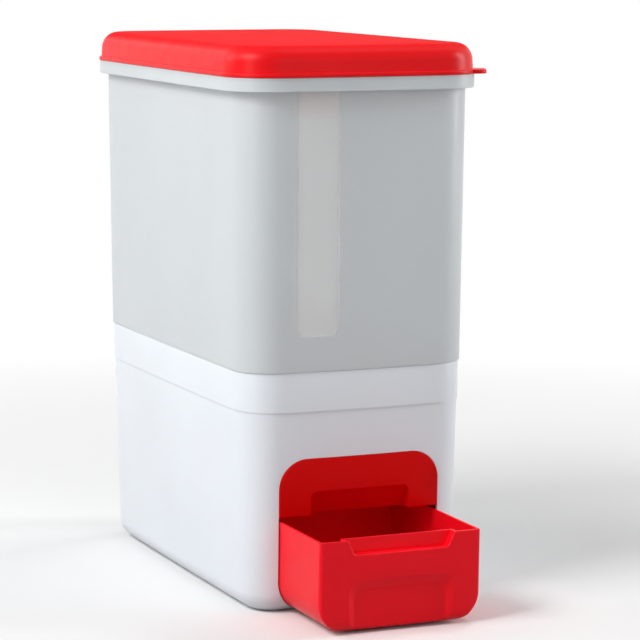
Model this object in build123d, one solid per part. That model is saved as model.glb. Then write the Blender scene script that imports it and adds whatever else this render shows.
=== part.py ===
"""Rice dispenser with a pull-out drawer, in millimetres.

A frosted container with a lift-off lid stands on a white base. Inside the base a funnel leads down
to a tunnel, in which a long drawer slides. A shutter plate on the drawer's back closes the funnel
when the drawer is pulled. Origin: middle of the resting plane, +Z up, front faces -Y.
Every piece is modelled at rest, with the drawer pulled out by drawer_travel.
"""

import math
import os

from build123d import *

# ---- plan shape that every level shares ------------------------------------------------------
extra_length = 140.0  # how much longer than wide every level is
front_swell = 3.4  # rise of the slightly rounded front and back
side_swell = 1.0  # rise of the slightly rounded sides
body_corner = 31.0  # plan radius of the body's four corners

# ---- heights, from the resting plane up ------------------------------------------------------
collar_line = 151.5  # lower edge of the base's collar
collar_rise = 29.3  # from there to the seam between base and container
body_rise = 215.2  # from the seam to the top of the container's rim
lid_rise = 23.0
rim_height = 10.0  # depth of the container's hanging rim

# ---- width at the waist, just below the collar, and what the other levels add to it ----------
waist_width = 178.4
foot_draft = 3.45  # how far each side of the base draws in towards the resting plane
collar_proud = 1.1
body_proud = 0.7  # container's foot over the collar
body_draft = 2.0
rim_reach = 6.35  # rim over the container's wall
flange_reach = 0.65  # lid's flange over the rim
dome_inset = 1.5
dome_draft = 1.3

# ---- walls and clearances --------------------------------------------------------------------
base_wall = 2.5
body_wall = 2.2
lid_wall = 2.2
funnel_wall = 2.0
tunnel_wall = 1.6
drawer_wall = 2.2
fit_gap = 0.35  # between pieces that are set into each other
rest_gap = 0.2  # between faces that only lie on each other
slide_gap = 0.5  # between the drawer and its tunnel

# ---- base ------------------------------------------------------------------------------------
bottom_round = 16.0  # large rounding between base wall and floor
standing_rim_width = 8.0
standing_rim_height = 1.2
floor_thick = 2.2
collar_draft = 0.4
collar_round = 0.6  # collar's outer edges
ledge_level = 163.0
ledge_width = 7.5
ledge_thick = 2.5
gusset_drop = 14.0
gusset_thick = 2.0
gussets_per_side = 5
gussets_per_end = 3
boss_radius = 4.5
boss_height = 9.0
boss_inset = 7.5  # from the tunnel's side to the screw's axis
boss_places_y = (-96.0, 36.0)

# ---- container -------------------------------------------------------------------------------
spigot_depth = 12.2
spigot_shoulder = 8.0
gasket_height = 3.3
gasket_width = 3.6
rim_wall = 1.8
rim_deck = 2.4
window_width = 33.0
window_middle = -36.0
window_bottom = 207.0
window_corner = 7.0
window_depth = 0.5

# ---- lid -------------------------------------------------------------------------------------
flange_thick = 3.3
flange_edge_round = 1.4
dome_round = 13.0
plug_depth = 27.0
plug_wall = 1.8
tab_reach = 9.5
tab_width = 27.0
tab_round = 8.0
tab_angle = -25.0  # where on the front right corner the tab points

# ---- face: one outline, of which the panel is the upper part and the drawer's front the lower --
face_half_width = 64.1
face_bottom = 1.4
face_top = 115.8
face_corner = 22.0
face_proud = 0.8
face_thick = 2.4
face_edge_round = 0.7
grip_half_width = 39.5
grip_top = 91.4
grip_depth = 12.0
grip_corner = 5.0
grip_start = 0.9  # depth at the grip's upper edge, where it fades into the panel
grip_round = 2.5

# ---- tunnel in which the drawer slides -------------------------------------------------------
tunnel_back = 70.0
outlet_collar = 6.0  # upstand round the roof's hole, which holds the funnel's throat
roof_gap = 1.3  # between the shutter and the roof
track_bottom = 0.2  # underside of the floor under the drawer
track_half_width = 55.0

# ---- drawer ----------------------------------------------------------------------------------
drawer_travel = 75.5
drawer_rim = 69.8
drawer_length = 153.0
front_round = 3.0  # front's sides
front_bottom_round = 10.0
rim_round = 0.6
scoop_half_width = 42.0
scoop_slant = 5.0
scoop_depth = 8.5
scoop_floor = 59.0
scoop_corner = 4.0
recess_half_width = 42.5
recess_top = 39.5
recess_depth = 3.6
recess_slant = 6.5
recess_corner = 8.0
recess_round = 2.5
brink_round = 1.6
lip_round = 1.0
groove_height = 0.5
shutter_thick = 2.0
shutter_flange = 14.0
stop_tab_width = 9.0
stop_tab_length = 4.0
stop_tab_middle = 46.0

# ---- funnel outlet ---------------------------------------------------------------------------
outlet_half_width = 25.0
outlet_front = -68.0
outlet_back = -17.0
outlet_corner = 8.0
throat_level = 84.0

# ---- runners, bumpers and screws -------------------------------------------------------------
runner_width = 8.0
runner_middle = 30.0
runner_thick = 1.1
runner_seat = 0.4
runner_inset = 16.0  # from the base's front, and half of it from the track's back end
bumper_radius = 5.0
bumper_thick = 3.0
bumper_neck_radius = 2.0
bumper_head_radius = 3.2
bumper_head_thick = 1.4
bumper_middle = 30.0
bumper_level = 63.0
screw_radius = 1.5
screw_fit = 0.05
screw_length = 9.0
screw_head_radius = 2.9
screw_head_height = 1.9
lug_thick = 2.4

# ---- worked out from the values above --------------------------------------------------------
base_top = collar_line + collar_rise
rim_top = base_top + body_rise
rim_bottom = rim_top - rim_height
lid_top = rim_top + lid_rise
foot_width = waist_width - 2 * foot_draft
collar_width = waist_width + 2 * collar_proud
body_low_width = collar_width + 2 * body_proud
body_high_width = body_low_width + 2 * body_draft
rim_width = body_high_width + 2 * rim_reach
flange_width = rim_width + 2 * flange_reach
dome_width = flange_width - 2 * dome_inset
dome_top_width = dome_width - 2 * dome_draft
rim_corner = body_corner + rim_reach
flange_corner = rim_corner + flange_reach
waist_corner = body_corner - collar_proud - body_proud
foot_corner = waist_corner - foot_draft
floor_top = standing_rim_height + floor_thick
drawer_half_width = face_half_width - slide_gap
drawer_bottom = face_bottom + slide_gap
drawer_corner = face_corner - slide_gap
shutter_top = drawer_rim + shutter_thick
tunnel_roof = shutter_top + roof_gap
roof_top = tunnel_roof + tunnel_wall
face_depth = foot_width + extra_length
closed_back = -face_depth / 2 + drawer_length  # the drawer's back wall when it is shut
track_back = closed_back + slide_gap
shutter_back = tunnel_back - tunnel_wall - bumper_thick - rest_gap  # when the drawer is shut
lug_level = floor_top + boss_height
spigot_bottom = base_top - spigot_depth


# ---- shapes that several pieces use ----------------------------------------------------------
def swelled_face(width, corner, level):
    """Rounded rectangle whose four sides are shallow arcs, lying at a level."""
    x = width / 2
    y = (width + extra_length) / 2
    corners = [(-x, -y), (x, -y), (x, y), (-x, y)]
    middles = [(0, -y - front_swell), (x + side_swell, 0), (0, y + front_swell), (-x - side_swell, 0)]
    ends = corners[1:] + corners[:1]
    sides = [ThreePointArc(a, m, b) for a, m, b in zip(corners, middles, ends)]
    face = make_face(sides)
    return Pos(0, 0, level) * fillet(face.vertices(), corner)


def swelled_block(low, high, inset=0.0):
    """Solid between two levels; low and high are (width, corner, level), both drawn in by inset."""
    faces = [swelled_face(w - 2 * inset, c - inset, z) for w, c, z in (low, high)]
    return loft(faces, ruled=True)


def between(low, high, level):
    """The (width, corner, level) of a straight wall at a level, from two others on it."""
    share = (level - low[2]) / (high[2] - low[2])
    return (low[0] + share * (high[0] - low[0]), low[1] + share * (high[1] - low[1]), level)


def box_between(x, y, z):
    """Box from three (low, high) pairs."""
    size = [high - low for low, high in (x, y, z)]
    middle = [(high + low) / 2 for low, high in (x, y, z)]
    return Pos(*middle) * Box(*size)


def upright_prism(half_width, bottom, top, low_corner, high_corner, y):
    """Prism along Y, from y[0] to y[1], of a front outline with rounded lower and upper corners."""
    outline = Rectangle(2 * half_width, top - bottom)
    for corner, ends in ((low_corner, slice(0, 2)), (high_corner, slice(-2, None))):
        if corner > 0:
            outline = fillet(outline.vertices().sort_by(Axis.Y)[ends], corner)
    plane = Plane((0, y[1], (top + bottom) / 2), x_dir=(1, 0, 0), z_dir=(0, -1, 0))
    return extrude(plane * outline, y[1] - y[0])


def outline_edges(faces):
    """Edges that bound a group of faces, without the seams between them."""
    edges = [edge for face in faces for edge in face.edges()]
    places = [tuple(round(v, 2) for v in edge.center()) for edge in edges]
    return [edge for edge, place in zip(edges, places) if places.count(place) == 1]


# walls of the body as (width, corner, level)
foot = (foot_width, foot_corner, 0.0)
waist = (waist_width, waist_corner, collar_line)
collar_low = (collar_width - collar_draft, body_corner, collar_line)
collar_high = (collar_width, body_corner, base_top)
body_low = (body_low_width, body_corner, base_top + rest_gap)
body_high = (body_high_width, body_corner, rim_top)


def wall_front(level, proud=0.0):
    """How far forward the middle of the base's front reaches at a level."""
    return -(between(foot, waist, level)[0] + extra_length) / 2 - front_swell - proud


# ---- base ------------------------------------------------------------------------------------
def collar_at(inset, level):
    """The collar's outline, drawn in by inset, as (width, corner, level)."""
    return (collar_low[0] - 2 * inset, collar_low[1] - inset, level)


def make_base_shell():
    """White shell: rounded floor edge, collar, ledge for the funnel, and the tunnel's opening."""
    wall = swelled_block(foot, waist)
    wall = fillet(wall.edges().group_by(Axis.Z)[0], bottom_round)
    collar = swelled_block(collar_low, collar_high)
    collar = fillet(collar.edges().group_by(Axis.Z)[-1], collar_round)
    shell = wall + collar - base_inside(0) - swelled_block(collar_low, collar_high, base_wall)

    ledge_bottom = ledge_level - ledge_thick
    reach = base_wall + ledge_width
    ledge = swelled_block(collar_at(base_wall / 2, ledge_bottom), collar_at(base_wall / 2, ledge_level))
    shell += ledge - swelled_block(collar_at(reach, ledge_bottom), collar_at(reach, ledge_level))
    for gusset in make_gussets(ledge_bottom):
        shell += gusset

    rim_inset = bottom_round + standing_rim_width
    hollow = (foot_width - 2 * rim_inset, foot_corner - standing_rim_width)
    shell -= swelled_block((*hollow, 0.0), (*hollow, standing_rim_height))
    for x, y in screw_places():
        shell += upright_rod(x, y, boss_radius, floor_top - floor_thick / 2, lug_level)
        shell -= upright_rod(x, y, screw_radius + screw_fit, floor_top, lug_level)

    shell += wall & box_between((-track_half_width, track_half_width),
                                (-face_depth, track_back + base_wall), (track_bottom, floor_top))
    half_width = face_half_width + fit_gap
    corner = face_corner + fit_gap
    window = (-face_depth, wall_front(0) + bottom_round + standing_rim_width)
    shell -= upright_prism(half_width, face_bottom, face_top + fit_gap, corner, corner, window)
    track = (wall_front(0), track_back)
    shell -= upright_prism(half_width, face_bottom, roof_top, corner, 0, track)
    for side in (-1, 1):
        shell -= runner_box(side, rest_gap / 2)
    return shell


def base_inside(gap):
    """The room inside the base's wall and over its floor, drawn in by gap."""
    room = swelled_block(between(foot, waist, floor_top + gap), waist, base_wall + gap)
    return fillet(room.edges().group_by(Axis.Z)[0], bottom_round - base_wall - gap)


def make_gussets(top):
    """Triangular ribs that carry the ledge from the base's wall."""
    x = waist_width / 2
    y = (waist_width + extra_length) / 2
    root = base_wall / 2
    reach = base_wall + ledge_width - root
    triangle = make_face(Polyline((0, 0), (0, -gusset_drop), (reach, 0), close=True))
    gussets = []
    for i in range(gussets_per_side):
        along = (i - (gussets_per_side - 1) / 2) * 2 * (y - body_corner) / gussets_per_side
        swell = side_swell * (1 - (along / y) ** 2)
        for side in (-1, 1):
            plane = Plane((side * (x + swell - root), along, top), x_dir=(-side, 0, 0), z_dir=(0, side, 0))
            gussets.append(extrude(plane * triangle, gusset_thick / 2, both=True))
    for i in range(gussets_per_end):
        across = (i - (gussets_per_end - 1) / 2) * 2 * (x - body_corner) / gussets_per_end
        swell = front_swell * (1 - (across / x) ** 2)
        for end in (-1, 1):
            plane = Plane((across, end * (y + swell - root), top), x_dir=(0, -end, 0), z_dir=(-end, 0, 0))
            gussets.append(extrude(plane * triangle, gusset_thick / 2, both=True))
    return gussets


def upright_rod(x, y, radius, bottom, top):
    """Upright cylinder from bottom to top."""
    return Pos(x, y, (bottom + top) / 2) * Cylinder(radius, top - bottom)


def screw_places():
    """Axes of the four screws that hold the tunnel down."""
    x = face_half_width + boss_inset
    return [(side * x, y) for side in (-1, 1) for y in boss_places_y]


# ---- container, its gasket and the lid -------------------------------------------------------
def make_container():
    """Frosted open sleeve with a hanging rim on top and a spigot that enters the base."""
    spigot_inset = base_wall + fit_gap
    narrow = spigot_inset + body_wall
    step = between(body_low, body_high, body_low[2] + spigot_shoulder)
    sleeve = swelled_block(body_low, body_high)
    sleeve += swelled_block(collar_at(spigot_inset, spigot_bottom), collar_at(spigot_inset, body_low[2]))

    bore = swelled_block(step, body_high, body_wall)
    bore += swelled_block(collar_at(narrow, spigot_bottom), collar_at(narrow, body_low[2]))
    bore += loft([
        swelled_face(*collar_at(narrow, body_low[2])),
        swelled_face(step[0] - 2 * body_wall, step[1] - body_wall, step[2]),
    ], ruled=True)

    rim = swelled_block((rim_width, rim_corner, rim_bottom), (rim_width, rim_corner, rim_top))
    rim = fillet(rim.edges().group_by(Axis.Z)[0], rim_wall / 3)
    under_rim = swelled_block((rim_width, rim_corner, rim_bottom),
                              (rim_width, rim_corner, rim_top - rim_deck), rim_wall)
    container = sleeve + (rim - under_rim) - bore

    front = (body_low_width + extra_length) / 2
    window = box_between((window_middle - window_width / 2, window_middle + window_width / 2),
                         (-2 * front, -front / 2), (window_bottom, rim_bottom))
    window = fillet(window.edges().filter_by(Axis.Y).group_by(Axis.Z)[0], window_corner)
    skin = swelled_block(body_low, body_high) - swelled_block(body_low, body_high, window_depth)
    return container - (window & skin)


def make_gasket():
    """Soft ring between the funnel's flange and the container's spigot."""
    outer = base_wall + 2 * fit_gap
    top = ledge_level + funnel_wall + gasket_height
    ring = swelled_block(collar_at(outer, ledge_level + funnel_wall), collar_at(outer, top))
    inner = outer + gasket_width
    ring -= swelled_block(collar_at(inner, ledge_level + funnel_wall), collar_at(inner, top))
    return ring


def make_lid():
    """Domed lid: flange with a lifting tab, hollow dome, and a plug that enters the container."""
    bottom = rim_top + rest_gap
    deck = bottom + flange_thick
    flange = swelled_block((flange_width, flange_corner, bottom), (flange_width, flange_corner, deck))
    corner_x = flange_width / 2 - flange_corner
    corner_y = -(flange_width + extra_length) / 2 + flange_corner
    tab = Rectangle(2 * (flange_corner + tab_reach), tab_width)
    tab = fillet(tab.vertices(), tab_round)
    tab = Pos(corner_x, corner_y, bottom) * Rot(0, 0, tab_angle) * extrude(tab, flange_thick)
    tab &= box_between((corner_x, 2 * corner_x + flange_width), (-flange_width - extra_length, 0),
                       (bottom, deck))
    flange += tab
    flange = fillet(flange.edges().group_by(Axis.Z)[-1], flange_edge_round)
    flange = fillet(flange.edges().group_by(Axis.Z)[0], flange_edge_round / 2)

    dome_corner = flange_corner - (flange_width - dome_width) / 2
    top_corner = dome_corner - (dome_width - dome_top_width) / 2
    dome = swelled_block((dome_width, dome_corner, bottom), (dome_top_width, top_corner, lid_top))
    dome = fillet(dome.edges().group_by(Axis.Z)[-1], dome_round)
    hollow = swelled_block((dome_width, dome_corner, deck - lid_wall / 2),
                           (dome_top_width, top_corner, lid_top - lid_wall), lid_wall)
    hollow = fillet(hollow.edges().group_by(Axis.Z)[-1], dome_round - lid_wall)

    plug_low = between(body_low, body_high, rim_top - plug_depth)
    plug_inset = body_wall + slide_gap
    plug = swelled_block(plug_low, body_high, plug_inset)
    plug += swelled_block((body_high[0], body_high[1], rim_top), (body_high[0], body_high[1], deck),
                          plug_inset)
    inner = plug_inset + plug_wall
    bore = swelled_block(plug_low, body_high, inner)
    bore += swelled_block(body_high, (body_high[0], body_high[1], deck + lid_wall), inner)
    return flange + dome + plug - hollow - bore


# ---- funnel ----------------------------------------------------------------------------------
def outlet_face(inset, level):
    """The funnel's outlet, grown by a negative inset."""
    width = 2 * (outlet_half_width - inset)
    length = outlet_back - outlet_front - 2 * inset
    face = Rectangle(width, length)
    face = fillet(face.vertices(), outlet_corner - inset)
    return Pos(0, (outlet_front + outlet_back) / 2, level) * face


def make_funnel():
    """White funnel: flange on the base's ledge, four slopes, and a square throat."""
    top = ledge_level + funnel_wall
    flange = swelled_block(collar_at(base_wall + fit_gap, ledge_level), collar_at(base_wall + fit_gap, top))
    mouth = base_wall + ledge_width + fit_gap
    size = collar_at(mouth, top)
    outer = loft([swelled_face(*size), outlet_face(-funnel_wall, throat_level)], ruled=True)
    inner = loft([
        swelled_face(size[0] - 2 * funnel_wall, size[1] - funnel_wall, top),
        outlet_face(0, throat_level),
    ], ruled=True)
    throat_bottom = shutter_top + slide_gap
    outer += extrude(outlet_face(-funnel_wall, throat_bottom), throat_level - throat_bottom)
    inner += extrude(outlet_face(0, throat_bottom), throat_level - throat_bottom)
    return flange + outer - inner


# ---- face panel and tunnel -------------------------------------------------------------------
def face_skin(proud):
    """Block whose front is the base's front wall, moved out by proud."""
    low = (foot_width + 2 * proud, foot_corner + proud, foot[2])
    high = (waist_width + 2 * proud, waist_corner + proud, waist[2])
    return swelled_block(low, high)


def grip_wedge(grow):
    """Finger grip in the panel: fades in at the top and is deepest over the drawer's scoop."""
    front = wall_front(grip_top, face_proud)
    top = grip_top + grow
    bottom = tunnel_roof
    slope = [
        (front - grip_depth, bottom), (front + grip_depth + grow, bottom),
        (front + grip_start + grow, top), (front - grip_depth, top),
    ]
    section = make_face(Polyline(*slope, close=True))
    half_width = grip_half_width + grow
    wedge = extrude(Plane.YZ * section, half_width, both=True)
    outline = upright_prism(half_width, bottom - grip_corner, top, 0, grip_corner + grow,
                            (2 * front, front / 2))
    return wedge & outline


def make_panel():
    """Red face panel over the drawer, with the finger grip's hollow behind it."""
    panel = upright_prism(face_half_width, tunnel_roof, face_top, 0, face_corner,
                          (-face_depth, -face_depth / 4))
    panel &= face_skin(face_proud) - face_skin(face_proud - face_thick)
    fronts = panel.faces().filter_by(lambda f: f.normal_at().Y < -0.5)
    panel = fillet(outline_edges(fronts), face_edge_round)
    panel += grip_wedge(tunnel_wall) & face_skin(0)
    return panel - grip_wedge(0)


def make_tunnel():
    """Red box without a floor, in which the drawer slides."""
    tunnel = box_between((-face_half_width - tunnel_wall, face_half_width + tunnel_wall),
                         (-face_depth, tunnel_back), (floor_top + rest_gap, roof_top))
    tunnel &= base_inside(rest_gap)
    back = tunnel_back - tunnel_wall
    tunnel -= box_between((-face_half_width, face_half_width), (-face_depth, back), (0, tunnel_roof))
    sill = box_between((-face_half_width, face_half_width), (-face_depth, -face_depth / 4),
                       (tunnel_roof, roof_top))
    tunnel += sill & face_skin(face_proud - face_thick - rest_gap)
    tunnel -= grip_wedge(tunnel_wall + fit_gap)

    collar_inset = -funnel_wall - fit_gap
    tunnel += extrude(outlet_face(collar_inset - tunnel_wall, roof_top - tunnel_wall / 2),
                      outlet_collar + tunnel_wall / 2)
    tunnel -= extrude(outlet_face(collar_inset, tunnel_roof - tunnel_wall), outlet_collar + 3 * tunnel_wall)
    for x, y in screw_places():
        root = math.copysign(face_half_width + tunnel_wall / 2, x)
        arm = box_between(sorted((root, x)), (y - boss_radius, y + boss_radius),
                          (lug_level, lug_level + lug_thick))
        arm += upright_rod(x, y, boss_radius, lug_level, lug_level + lug_thick)
        tunnel += arm - upright_rod(x, y, screw_radius + fit_gap, lug_level, lug_level + lug_thick)

    slot_half = stop_tab_width / 2 + slide_gap
    slot_front = shutter_back - drawer_travel - stop_tab_length - rest_gap
    for side in (-1, 1):
        x = side * stop_tab_middle
        tunnel -= box_between((x - slot_half, x + slot_half), (slot_front, shutter_back + slide_gap),
                              (tunnel_roof - tunnel_wall, roof_top + tunnel_wall))
        tunnel -= along_rod(side * bumper_middle, bumper_level, bumper_neck_radius,
                            tunnel_back - 2 * tunnel_wall, tunnel_back + tunnel_wall)
    return tunnel


def along_rod(x, level, radius, front, back):
    """Cylinder along Y."""
    return Pos(x, (front + back) / 2, level) * Rot(90, 0, 0) * Cylinder(radius, back - front)


def runner_box(side, grow=0.0):
    """One glide strip in its seat in the floor under the drawer, or that seat."""
    x = side * runner_middle
    half = runner_width / 2 + grow
    bottom = face_bottom - runner_seat
    ends = (-face_depth / 2 + runner_inset - grow, track_back - runner_inset / 2 + grow)
    return box_between((x - half, x + half), ends, (bottom, bottom + runner_thick))


def make_runner(side):
    """Glide strip on which the drawer slides."""
    strip = runner_box(side)
    return chamfer(strip.edges().filter_by(Axis.X).group_by(Axis.Z)[-1], runner_seat / 2)


def make_bumper(side):
    """Soft pad with a plug that holds it in the tunnel's back wall."""
    x = side * bumper_middle
    inner = tunnel_back - tunnel_wall
    pad = along_rod(x, bumper_level, bumper_radius, inner - bumper_thick, inner)
    pad = fillet(pad.edges().group_by(Axis.Y)[0], bumper_thick / 3)
    neck = along_rod(x, bumper_level, bumper_neck_radius, inner, tunnel_back)
    head = along_rod(x, bumper_level, bumper_head_radius, tunnel_back, tunnel_back + bumper_head_thick)
    head = fillet(head.edges().group_by(Axis.Y)[-1], bumper_head_thick / 2)
    return pad + neck + head


def make_screws():
    """Four pan head screws that hold the tunnel's lugs down on the base's bosses."""
    seat = lug_level + lug_thick
    screws = []
    for x, y in screw_places():
        head = upright_rod(x, y, screw_head_radius, seat, seat + screw_head_height)
        head = fillet(head.edges().group_by(Axis.Z)[-1], screw_head_height / 2)
        screws.append(head + upright_rod(x, y, screw_radius, seat - screw_length, seat))
    return Compound(children=screws)


# ---- drawer ----------------------------------------------------------------------------------
def make_drawer():
    """Red drawer, modelled shut: its front lies in the face panel's plane."""
    box = upright_prism(drawer_half_width, drawer_bottom, drawer_rim, drawer_corner, 0,
                        (-face_depth, closed_back))
    box &= face_skin(face_proud)
    front = wall_front(drawer_rim, face_proud)
    front_edges = box.edges().filter_by(lambda e: e.center().Y < front + drawer_corner / 2)
    box = fillet(front_edges.filter_by(lambda e: e.center().Z < drawer_rim - rest_gap), front_round)
    box &= drawer_skin(0)

    hollow = upright_prism(drawer_half_width - drawer_wall, drawer_bottom + drawer_wall,
                           drawer_rim + drawer_wall, drawer_corner - drawer_wall, 0,
                           (-face_depth, closed_back - drawer_wall))
    drawer = box - (hollow & drawer_skin(drawer_wall))

    scoop_back = front + scoop_depth
    shelf = box_between((-scoop_half_width - drawer_wall, scoop_half_width + drawer_wall),
                        (2 * front, scoop_back + drawer_wall), (scoop_floor - drawer_wall, drawer_rim))
    low_front = wall_front(recess_top / 2, face_proud)
    lump = box_between((-recess_half_width - drawer_wall, recess_half_width + drawer_wall),
                       (2 * front, low_front + recess_depth + drawer_wall),
                       (drawer_bottom, recess_top + drawer_wall))
    drawer += (shelf + lump) & box
    drawer -= scoop_cut(front) + recess_cut(low_front)
    drawer = soften_front(drawer)
    for side in (-1, 1):
        x = side * runner_middle
        half = runner_width / 2 + slide_gap
        drawer -= box_between((x - half, x + half), (low_front + 2 * front_bottom_round, closed_back),
                              (drawer_bottom, drawer_bottom + groove_height))
    return drawer


def soften_front(drawer):
    """Rounds the scoop's lip, the recess's brink and the rim."""
    lip_levels = (scoop_floor - rest_gap, drawer_rim - 2 * rim_round)
    drawer = fillet(front_edges(drawer, scoop_half_width, lip_levels), lip_round)
    brink_levels = (drawer_bottom + front_bottom_round, recess_top)
    drawer = fillet(front_edges(drawer, recess_half_width, brink_levels), brink_round)
    tops = drawer.faces().filter_by(lambda f: f.normal_at().Z > 0.5 and f.center().Z > drawer_rim - rest_gap)
    return fillet(outline_edges(tops), rim_round)


def front_edges(drawer, half_width, levels):
    """Edges of the drawer's front face whose middles lie within a half width and two levels."""
    fronts = drawer.faces().filter_by(lambda f: f.normal_at().Y < -0.5 and f.center().Y < -face_depth / 2)
    edges = fronts.sort_by(SortBy.AREA)[-1].edges()
    return edges.filter_by(lambda e: abs(e.center().X) < half_width
                           and levels[0] < e.center().Z < levels[1])


def drawer_skin(inset):
    """Block whose front is the drawer's, rounded below and drawn in by inset."""
    proud = face_proud - inset
    low = (foot_width + 2 * proud, foot_corner + proud, foot[2])
    high = (waist_width + 2 * proud, waist_corner + proud, waist[2])
    block = swelled_block(between(low, high, drawer_bottom + inset), high)
    return fillet(block.edges().group_by(Axis.Z)[0], front_bottom_round - inset)


def scoop_cut(front):
    """Finger scoop in the front's upper edge, with slanted ends."""
    low = scoop_half_width - scoop_slant
    top = drawer_rim + scoop_corner
    grow = scoop_slant * (top - scoop_floor) / (drawer_rim - scoop_floor)
    points = [(-low, scoop_floor), (low, scoop_floor), (low + grow, top), (-low - grow, top)]
    outline = make_face(Polyline(*points, close=True))
    outline = fillet(outline.vertices().sort_by(Axis.Y)[:2], scoop_corner)
    plane = Plane((0, front + scoop_depth, 0), x_dir=(1, 0, 0), z_dir=(0, -1, 0))
    return extrude(plane * outline, 3 * scoop_depth)


def recess_cut(front):
    """Shallow recess with slanted sides in the front's lower half, open below."""
    def outline(half_width, top, y):
        face = Rectangle(2 * half_width, 2 * (top - drawer_bottom))
        face = fillet(face.vertices(), recess_corner)
        return Plane((0, y, drawer_bottom), x_dir=(1, 0, 0), z_dir=(0, -1, 0)) * face

    inner = outline(recess_half_width - recess_slant, recess_top - recess_slant, front + recess_depth)
    outer = outline(recess_half_width + recess_slant, recess_top + recess_slant, front - recess_depth)
    return fillet(loft([inner, outer], ruled=True).edges().group_by(Axis.Y)[-1], recess_round)


def make_shutter():
    """Plate behind the drawer, modelled shut, that closes the funnel when the drawer is pulled."""
    half_width = drawer_half_width - drawer_wall
    plate = box_between((-half_width, half_width), (closed_back - drawer_wall, shutter_back),
                        (drawer_rim, shutter_top))
    low = drawer_rim - shutter_flange
    for front in (closed_back, shutter_back - shutter_thick):
        plate += box_between((-half_width, half_width), (front, front + shutter_thick), (low, shutter_top))
    for x in (-half_width / 2, 0, half_width / 2):
        rib = make_face(Polyline((closed_back, drawer_rim), (closed_back, low), (shutter_back, low),
                                 (shutter_back, drawer_rim), close=True))
        plate += Pos(x, 0, 0) * extrude(Plane.YZ * rib, shutter_thick / 2, both=True)
    for side in (-1, 1):
        x = side * stop_tab_middle
        plate += box_between((x - stop_tab_width / 2, x + stop_tab_width / 2),
                             (shutter_back - stop_tab_length, shutter_back),
                             (shutter_top, roof_top - rest_gap))
    return plate


# ---- the whole dispenser ---------------------------------------------------------------------
def pulled(shape):
    """A drawer piece at rest, pulled out by the drawer's travel."""
    return Pos(0, -drawer_travel, 0) * shape


pieces = {
    "base_shell": make_base_shell(),
    "funnel": make_funnel(),
    "face_panel": make_panel(),
    "drawer_tunnel": make_tunnel(),
    "housing_screws": make_screws(),
    "runner_left": make_runner(-1),
    "runner_right": make_runner(1),
    "bumper_left": make_bumper(-1),
    "bumper_right": make_bumper(1),
    "drawer": pulled(make_drawer()),
    "drawer_shutter": pulled(make_shutter()),
    "container": make_container(),
    "container_gasket": make_gasket(),
    "lid": make_lid(),
}

os.makedirs("parts", exist_ok=True)
for name, shape in pieces.items():
    export_step(shape, f"parts/{name}.step")
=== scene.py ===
"""Looks of the rice dispenser with drawer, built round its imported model. Metres, +Z up."""

import math

import bpy
from mathutils import Matrix, Vector


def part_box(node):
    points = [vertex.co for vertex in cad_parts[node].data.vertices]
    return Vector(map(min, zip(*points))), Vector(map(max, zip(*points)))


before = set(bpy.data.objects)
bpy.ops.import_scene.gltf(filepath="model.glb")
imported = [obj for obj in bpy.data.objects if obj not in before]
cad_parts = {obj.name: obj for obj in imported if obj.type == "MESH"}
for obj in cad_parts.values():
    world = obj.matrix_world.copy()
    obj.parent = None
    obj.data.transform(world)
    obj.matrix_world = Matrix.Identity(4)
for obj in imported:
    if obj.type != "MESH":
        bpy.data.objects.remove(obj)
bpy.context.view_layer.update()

MM = 0.001

# ---- camera, as a yaw from the front, a pitch down and a roll, in degrees ----------------------
CAMERA_PLACE = Vector((-0.8086, -1.9832, 0.4981))
CAMERA_YAW = 23.06
CAMERA_PITCH = 8.03
CAMERA_ROLL = 0.18
CAMERA_LENS = 153.8
CAMERA_SENSOR = 36.0
CAMERA_REACH = 50.0

# ---- colours, linear ---------------------------------------------------------------------------
RED_LID = (0.88, 0.004, 0.008)
RED_HOUSING = (0.70, 0.001, 0.0015)
# The tunnel and shutter red is a darker copy of the red: painted shade for the dark space inside the
# drawer opening.
RED_INSIDE_PAINTED_SHADE = (0.34, 0.0006, 0.001)
RED_DRAWER = (0.94, 0.005, 0.016)
WHITE_SHELL = (0.80, 0.84, 0.89)
WHITE_FUNNEL = (0.76, 0.78, 0.80)
FROSTED = (0.84, 0.88, 0.90)
WINDOW = (0.97, 0.98, 0.985)
GASKET_GREY = (0.55, 0.56, 0.57)
RUNNER_GREY = (0.62, 0.62, 0.60)
BUMPER_BLACK = (0.02, 0.02, 0.022)
SCREW_GREY = (0.5, 0.5, 0.52)

# ---- plastics ----------------------------------------------------------------------------------
# A roughness pattern that dips to 0.27 leaves dark specks; from 0.29 up it leaves none.
PLASTIC_IOR = 1.49
PLASTIC_DRIFT = 0.04  # share by which the colour darkens in places
PLASTIC_WEAR = (-0.04, 0.05)  # spread of the roughness
PLASTIC_WAVE = (1.2 * MM, 0.08)  # depth and strength of the slow flow waves
PLASTIC_GRAIN = (0.05 * MM, 0.03)  # depth and strength of the fine grain
LID_MATTE = (1.5 * MM, 4.0 * MM, 0.80)  # depth under the top, height of the change, roughness
FROSTED_IOR = 1.36
FROSTED_DRIFT = 0.05
FROSTED_ROUGHNESS = (0.30, 0.37)
FROSTED_TRANSMISSION = 0.35
WINDOW_TRANSMISSION = 0.42
WINDOW_GLOSS = 0.55  # share of the frosted roughness

# ---- floor and world ---------------------------------------------------------------------------
FLOOR_HALF = 40.0
FLOOR_WHITE = 0.90  # as the camera sees it
FLOOR_BOUNCE = 0.50  # as the object's light sees it
FLOOR_FADE = (0.30, 1.10)  # distances over which the floor turns plain white
WORLD_LIGHT = 0.25

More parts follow.
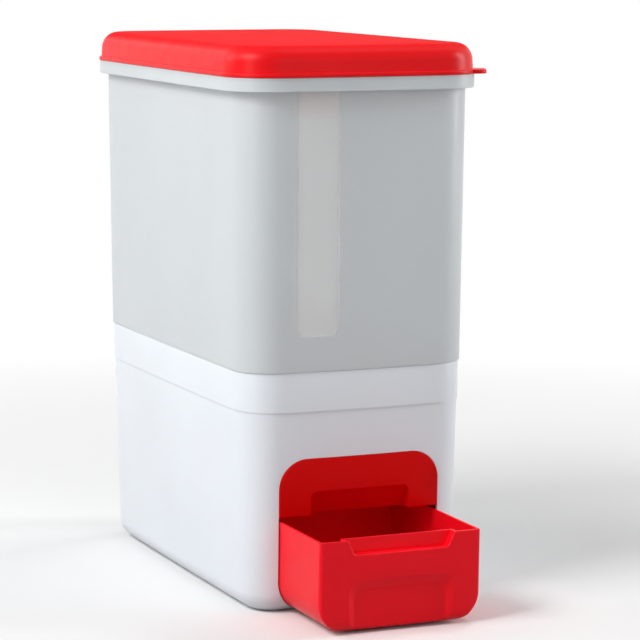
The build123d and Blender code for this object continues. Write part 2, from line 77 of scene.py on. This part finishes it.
# ---- lamps: name, place, target, size, watts ---------------------------------------------------
MIDDLE = (0.0, 0.0, 0.2)
LID_FRONT = (0.0, -0.1, 0.4)
LAMPS = (
    ("back_left", (-1.75, 1.10, 1.20), MIDDLE, (1.2, 1.3), 12.0),
    ("key", (-1.70, -0.45, 1.85), MIDDLE, (1.2, 0.9), 35.0),
    ("left_strip", (-1.75, -0.80, 0.60), MIDDLE, (0.35, 1.1), 6.0),
    ("top", (0.78, 0.30, 2.15), LID_FRONT, (0.35, 0.30), 7.0),
    ("right", (2.20, -0.60, 0.85), MIDDLE, (0.45, 1.5), 26.0),
    ("front_fill", (0.40, -2.80, 1.20), MIDDLE, (1.6, 1.6), 6.0),
)

# ---- the container's clear level window --------------------------------------------------------
WINDOW_MIDDLE = -36.0 * MM
WINDOW_HALF_WIDTH = 16.5 * MM
WINDOW_BOTTOM = 207.0 * MM
WINDOW_TOP = 386.0 * MM  # the hanging rim's lower edge
WINDOW_CORNER = 7.0 * MM
WINDOW_EDGE = 0.5 * MM

# ---- smooth shading ----------------------------------------------------------------------------
SMOOTH_ANGLE = math.radians(28)  # edges over it stay sharp
WELD_DISTANCE = 0.002 * MM


# ---- materials ---------------------------------------------------------------------------------
class Shader:
    """A material's or the world's node tree with short ways to add and join nodes."""

    def __init__(self, owner, output="ShaderNodeOutputMaterial"):
        owner.use_nodes = True
        self.owner = owner
        self.tree = owner.node_tree
        self.tree.nodes.clear()
        self.output = self.add(output)
        self.place = self.add("ShaderNodeTexCoord").outputs["Object"]

    def add(self, kind, **values):
        """Adds a node; each value sets an attribute, or an input of that name."""
        node = self.tree.nodes.new(kind)
        for key, value in values.items():
            if hasattr(node, key):
                setattr(node, key, value)
            else:
                node.inputs[key.replace("_", " ")].default_value = value
        return node

    def join(self, source, target):
        self.tree.links.new(source, target)

    def axes(self):
        """The three parts of the object's own place."""
        parts = self.add("ShaderNodeSeparateXYZ")
        self.join(self.place, parts.inputs[0])
        return parts.outputs

    def noise(self, scale, detail, roughness=0.5, stretch=(1, 1, 1)):
        """Noise over the object's own place, with its scale in features a metre."""
        mapping = self.add("ShaderNodeMapping")
        mapping.inputs["Scale"].default_value = stretch
        self.join(self.place, mapping.inputs["Vector"])
        node = self.add("ShaderNodeTexNoise", Scale=scale, Detail=detail, Roughness=roughness)
        self.join(mapping.outputs[0], node.inputs["Vector"])
        return node.outputs["Fac"]

    def ranged(self, value, low, high, source=(0.3, 0.7)):
        """Maps a value into a range."""
        node = self.add("ShaderNodeMapRange")
        for key, number in zip(("From Min", "From Max", "To Min", "To Max"), (*source, low, high)):
            node.inputs[key].default_value = number
        self.join(value, node.inputs["Value"])
        return node.outputs[0]

    def blend(self, factor, first, second):
        """Mixes two colours."""
        node = self.add("ShaderNodeMix", data_type="RGBA")
        for socket, colour in ((node.inputs[6], first), (node.inputs[7], second)):
            if isinstance(colour, tuple):
                socket.default_value = (*colour, 1.0)
            else:
                self.join(colour, socket)
        self.join(factor, node.inputs[0])
        return node.outputs[2]

    def math(self, operation, first, second=0.0, clamp=False):
        """Works on one or two values; each is a socket or a number."""
        node = self.add("ShaderNodeMath", operation=operation, use_clamp=clamp)
        for socket, value in zip(node.inputs, (first, second)):
            if isinstance(value, (int, float)):
                socket.default_value = value
            else:
                self.join(value, socket)
        return node.outputs[0]

    def background_rays(self):
        """One for rays that show the background: the camera's, reflected and passed through."""
        ray = self.add("ShaderNodeLightPath").outputs
        bent = self.math("ADD", ray["Is Glossy Ray"], ray["Is Transmission Ray"], clamp=True)
        return self.math("ADD", ray["Is Camera Ray"], bent, clamp=True)

    def bumps(self, layers):
        """One bump from several (height, (distance, strength)) layers."""
        normal = None
        for height, (distance, strength) in layers:
            node = self.add("ShaderNodeBump", Distance=distance, Strength=strength)
            self.join(height, node.inputs["Height"])
            if normal is not None:
                self.join(normal, node.inputs["Normal"])
            normal = node.outputs[0]
        return normal


def moulded_plastic(name, colour, roughness, gloss=0.5, matte=None):
    """Injection moulded plastic: faint tone drift, fine surface grain and slow flow waves.

    matte is (height, depth, roughness): above that height the surface is duller.
    """
    s = Shader(bpy.data.materials.new(name))
    bsdf = s.add("ShaderNodeBsdfPrincipled")
    drift = s.noise(9.0, detail=2.0)
    darker = tuple(c * (1.0 - PLASTIC_DRIFT) for c in colour)
    s.join(s.blend(s.ranged(drift, 0.0, 1.0), darker, colour), bsdf.inputs["Base Color"])
    wear = s.noise(60.0, detail=5.0, roughness=0.65)
    dull = s.ranged(wear, *(roughness + change for change in PLASTIC_WEAR))
    if matte:
        height, depth, top_roughness = matte
        extra = s.ranged(s.axes()["Z"], 0.0, top_roughness - roughness, (height - depth, height))
        dull = s.math("ADD", dull, extra)
    s.join(dull, bsdf.inputs["Roughness"])
    bsdf.inputs["IOR"].default_value = PLASTIC_IOR
    bsdf.inputs["Specular IOR Level"].default_value = gloss
    fine = s.noise(900.0, detail=1.0)
    slow = s.noise(14.0, detail=1.0)
    s.join(s.bumps([(slow, PLASTIC_WAVE), (fine, PLASTIC_GRAIN)]), bsdf.inputs["Normal"])
    s.join(bsdf.outputs[0], s.output.inputs["Surface"])
    return s.owner


def window_mask(s):
    """One inside the clear level window: an upright strip with rounded lower corners."""
    x, y, z = s.axes()
    reach = s.math("ABSOLUTE", s.math("SUBTRACT", x, WINDOW_MIDDLE))
    across = s.math("MAXIMUM", s.math("SUBTRACT", reach, WINDOW_HALF_WIDTH - WINDOW_CORNER), 0.0)
    down = s.math("MAXIMUM", s.math("SUBTRACT", WINDOW_BOTTOM + WINDOW_CORNER, z), 0.0)
    square = s.math("ADD", s.math("MULTIPLY", across, across), s.math("MULTIPLY", down, down))
    outside = s.math("SUBTRACT", s.math("SQRT", square), WINDOW_CORNER)
    inside = s.ranged(outside, 1.0, 0.0, source=(-WINDOW_EDGE, WINDOW_EDGE))
    in_front = s.math("LESS_THAN", y, 0.0)
    under_rim = s.math("LESS_THAN", z, WINDOW_TOP)
    return s.math("MULTIPLY", inside, s.math("MULTIPLY", in_front, under_rim))


def frosted_plastic():
    """Milky see-through plastic: lets blurred light and colour through, with faint flow marks."""
    s = Shader(bpy.data.materials.new("frosted"))
    bsdf = s.add("ShaderNodeBsdfPrincipled")
    drift = s.noise(7.0, detail=2.0, stretch=(1, 1, 0.4))
    darker = tuple(c * (1.0 - FROSTED_DRIFT) for c in FROSTED)
    milky = s.blend(s.ranged(drift, 0.0, 1.0), darker, FROSTED)
    window = window_mask(s)
    s.join(s.blend(window, milky, WINDOW), bsdf.inputs["Base Color"])
    let_through = s.ranged(window, FROSTED_TRANSMISSION, WINDOW_TRANSMISSION, source=(0.0, 1.0))
    s.join(let_through, bsdf.inputs["Transmission Weight"])
    bsdf.inputs["IOR"].default_value = FROSTED_IOR
    wear = s.ranged(s.noise(80.0, detail=4.0), *FROSTED_ROUGHNESS)
    clear = s.ranged(window, 1.0, WINDOW_GLOSS, source=(0.0, 1.0))
    s.join(s.math("MULTIPLY", wear, clear), bsdf.inputs["Roughness"])
    s.join(s.bumps([(s.noise(12.0, detail=1.0), PLASTIC_WAVE)]), bsdf.inputs["Normal"])
    s.join(bsdf.outputs[0], s.output.inputs["Surface"])
    return s.owner


def dress(node, material):
    """Gives a carried-over piece its material."""
    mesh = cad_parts[node].data
    mesh.materials.clear()
    mesh.materials.append(material)


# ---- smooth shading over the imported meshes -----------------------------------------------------
def smooth_group():
    """Geometry nodes that weld a mesh's seams and shade it smooth below an edge angle."""
    group = bpy.data.node_groups.new("smooth_shell", "GeometryNodeTree")
    group.interface.new_socket("Geometry", in_out="INPUT", socket_type="NodeSocketGeometry")
    group.interface.new_socket("Geometry", in_out="OUTPUT", socket_type="NodeSocketGeometry")
    nodes, links = group.nodes, group.links
    start = nodes.new("NodeGroupInput")
    end = nodes.new("NodeGroupOutput")
    weld = nodes.new("GeometryNodeMergeByDistance")
    weld.inputs["Distance"].default_value = WELD_DISTANCE
    edge = nodes.new("GeometryNodeInputMeshEdgeAngle")
    sharp = nodes.new("FunctionNodeCompare")
    sharp.operation = "GREATER_THAN"
    sharp.inputs["B"].default_value = SMOOTH_ANGLE
    faces = nodes.new("GeometryNodeSetShadeSmooth")
    faces.domain = "FACE"
    edges = nodes.new("GeometryNodeSetShadeSmooth")
    edges.domain = "EDGE"
    edges.inputs["Shade Smooth"].default_value = False
    links.new(start.outputs[0], weld.inputs["Geometry"])
    links.new(weld.outputs[0], faces.inputs[0])
    links.new(edge.outputs["Unsigned Angle"], sharp.inputs["A"])
    links.new(faces.outputs[0], edges.inputs[0])
    links.new(sharp.outputs[0], edges.inputs["Selection"])
    links.new(edges.outputs[0], end.inputs[0])
    return group


def smooth_nodes():
    group = smooth_group()
    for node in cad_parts.values():
        modifier = node.modifiers.new("smooth", "NODES")
        modifier.node_group = group


# ---- studio ------------------------------------------------------------------------------------
def add_floor():
    """Plain pale floor that runs far behind; away from the object the camera sees it plain white."""
    mesh = bpy.data.meshes.new("floor")
    signs = ((-1, -1), (1, -1), (1, 1), (-1, 1))
    corners = [(FLOOR_HALF * x, FLOOR_HALF * y, 0.0) for x, y in signs]
    mesh.from_pydata(corners, [], [(0, 1, 2, 3)])
    floor = bpy.data.objects.new("floor", mesh)
    bpy.context.scene.collection.objects.link(floor)
    s = Shader(bpy.data.materials.new("studio_floor"))
    seen = s.background_rays()
    diffuse = s.add("ShaderNodeBsdfDiffuse")
    tone = s.blend(seen, (FLOOR_BOUNCE,) * 3, (FLOOR_WHITE,) * 3)
    s.join(tone, diffuse.inputs["Color"])
    white = s.add("ShaderNodeEmission", Strength=1.0)
    length = s.add("ShaderNodeVectorMath", operation="LENGTH")
    s.join(s.place, length.inputs[0])
    far = s.ranged(length.outputs["Value"], 0.0, 1.0, source=FLOOR_FADE)
    mix = s.add("ShaderNodeMixShader")
    s.join(s.math("MULTIPLY", far, seen), mix.inputs[0])
    s.join(diffuse.outputs[0], mix.inputs[1])
    s.join(white.outputs[0], mix.inputs[2])
    s.join(mix.outputs[0], s.output.inputs["Surface"])
    mesh.materials.append(s.owner)


def add_lamp(name, place, target, size, watts):
    """Soft rectangular lamp at a place, aimed at a target."""
    light = bpy.data.lights.new(name, "AREA")
    light.shape = "RECTANGLE"
    light.size, light.size_y = size
    light.energy = watts
    lamp = bpy.data.objects.new(name, light)
    bpy.context.scene.collection.objects.link(lamp)
    lamp.location = place
    lamp.rotation_euler = (Vector(target) - Vector(place)).to_track_quat("-Z", "Y").to_euler()


def add_studio():
    add_floor()
    for lamp in LAMPS:
        add_lamp(*lamp)
    world = bpy.data.worlds.new("studio")
    bpy.context.scene.world = world
    s = Shader(world, "ShaderNodeOutputWorld")
    sky = s.add("ShaderNodeBackground", Color=(1.0, 1.0, 1.0, 1.0))
    strength = s.ranged(s.background_rays(), WORLD_LIGHT, 1.0, source=(0.0, 1.0))
    s.join(strength, sky.inputs["Strength"])
    s.join(sky.outputs[0], s.output.inputs["Surface"])
    bpy.context.scene.view_settings.view_transform = "Standard"


def add_camera():
    """Camera at the photograph's angle."""
    yaw, pitch, roll = (math.radians(a) for a in (CAMERA_YAW, CAMERA_PITCH, CAMERA_ROLL))
    forward = Vector((
        math.sin(yaw) * math.cos(pitch), math.cos(yaw) * math.cos(pitch), -math.sin(pitch)
    ))
    right = Vector((math.cos(yaw), -math.sin(yaw), 0.0))
    up = right.cross(forward)
    turned_right = right * math.cos(roll) + up * math.sin(roll)
    turned_up = up * math.cos(roll) - right * math.sin(roll)
    axes = Matrix((turned_right, turned_up, -forward)).transposed()
    data = bpy.data.cameras.new("camera")
    data.lens = CAMERA_LENS
    data.sensor_width = CAMERA_SENSOR
    data.clip_end = CAMERA_REACH
    camera = bpy.data.objects.new("camera", data)
    bpy.context.scene.collection.objects.link(camera)
    camera.matrix_world = Matrix.Translation(CAMERA_PLACE) @ axes.to_4x4()
    bpy.context.scene.camera = camera


# ---- the dispenser -----------------------------------------------------------------------------
def dress_pieces():
    dress("base_shell", moulded_plastic("white_shell", WHITE_SHELL, 0.34))
    dress("funnel", moulded_plastic("white_funnel", WHITE_FUNNEL, 0.42))
    dress("face_panel", moulded_plastic("red_panel", RED_HOUSING, 0.35, gloss=0.09))
    # Tunnel and shutter take the darker red: painted shade inside the drawer opening.
    dress("drawer_tunnel", moulded_plastic("red_tunnel_painted_shade", RED_INSIDE_PAINTED_SHADE, 0.46, gloss=0.07))
    dress("drawer", moulded_plastic("red_drawer", RED_DRAWER, 0.33, gloss=0.15))
    dress("drawer_shutter", moulded_plastic("red_shutter_painted_shade", RED_INSIDE_PAINTED_SHADE, 0.46, gloss=0.07))
    below_top, change, dullness = LID_MATTE
    lid_matte = (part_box("lid")[1][2] - below_top, change, dullness)
    dress("lid", moulded_plastic("red_lid", RED_LID, 0.34, gloss=0.17, matte=lid_matte))
    dress("container", frosted_plastic())
    dress("container_gasket", moulded_plastic("gasket", GASKET_GREY, 0.6))
    for name in ("runner_left", "runner_right"):
        dress(name, moulded_plastic(name, RUNNER_GREY, 0.4))
    for name in ("bumper_left", "bumper_right"):
        dress(name, moulded_plastic(name, BUMPER_BLACK, 0.6))
    dress("housing_screws", moulded_plastic("screw_steel", SCREW_GREY, 0.34))


smooth_nodes()
dress_pieces()
add_studio()
add_camera()
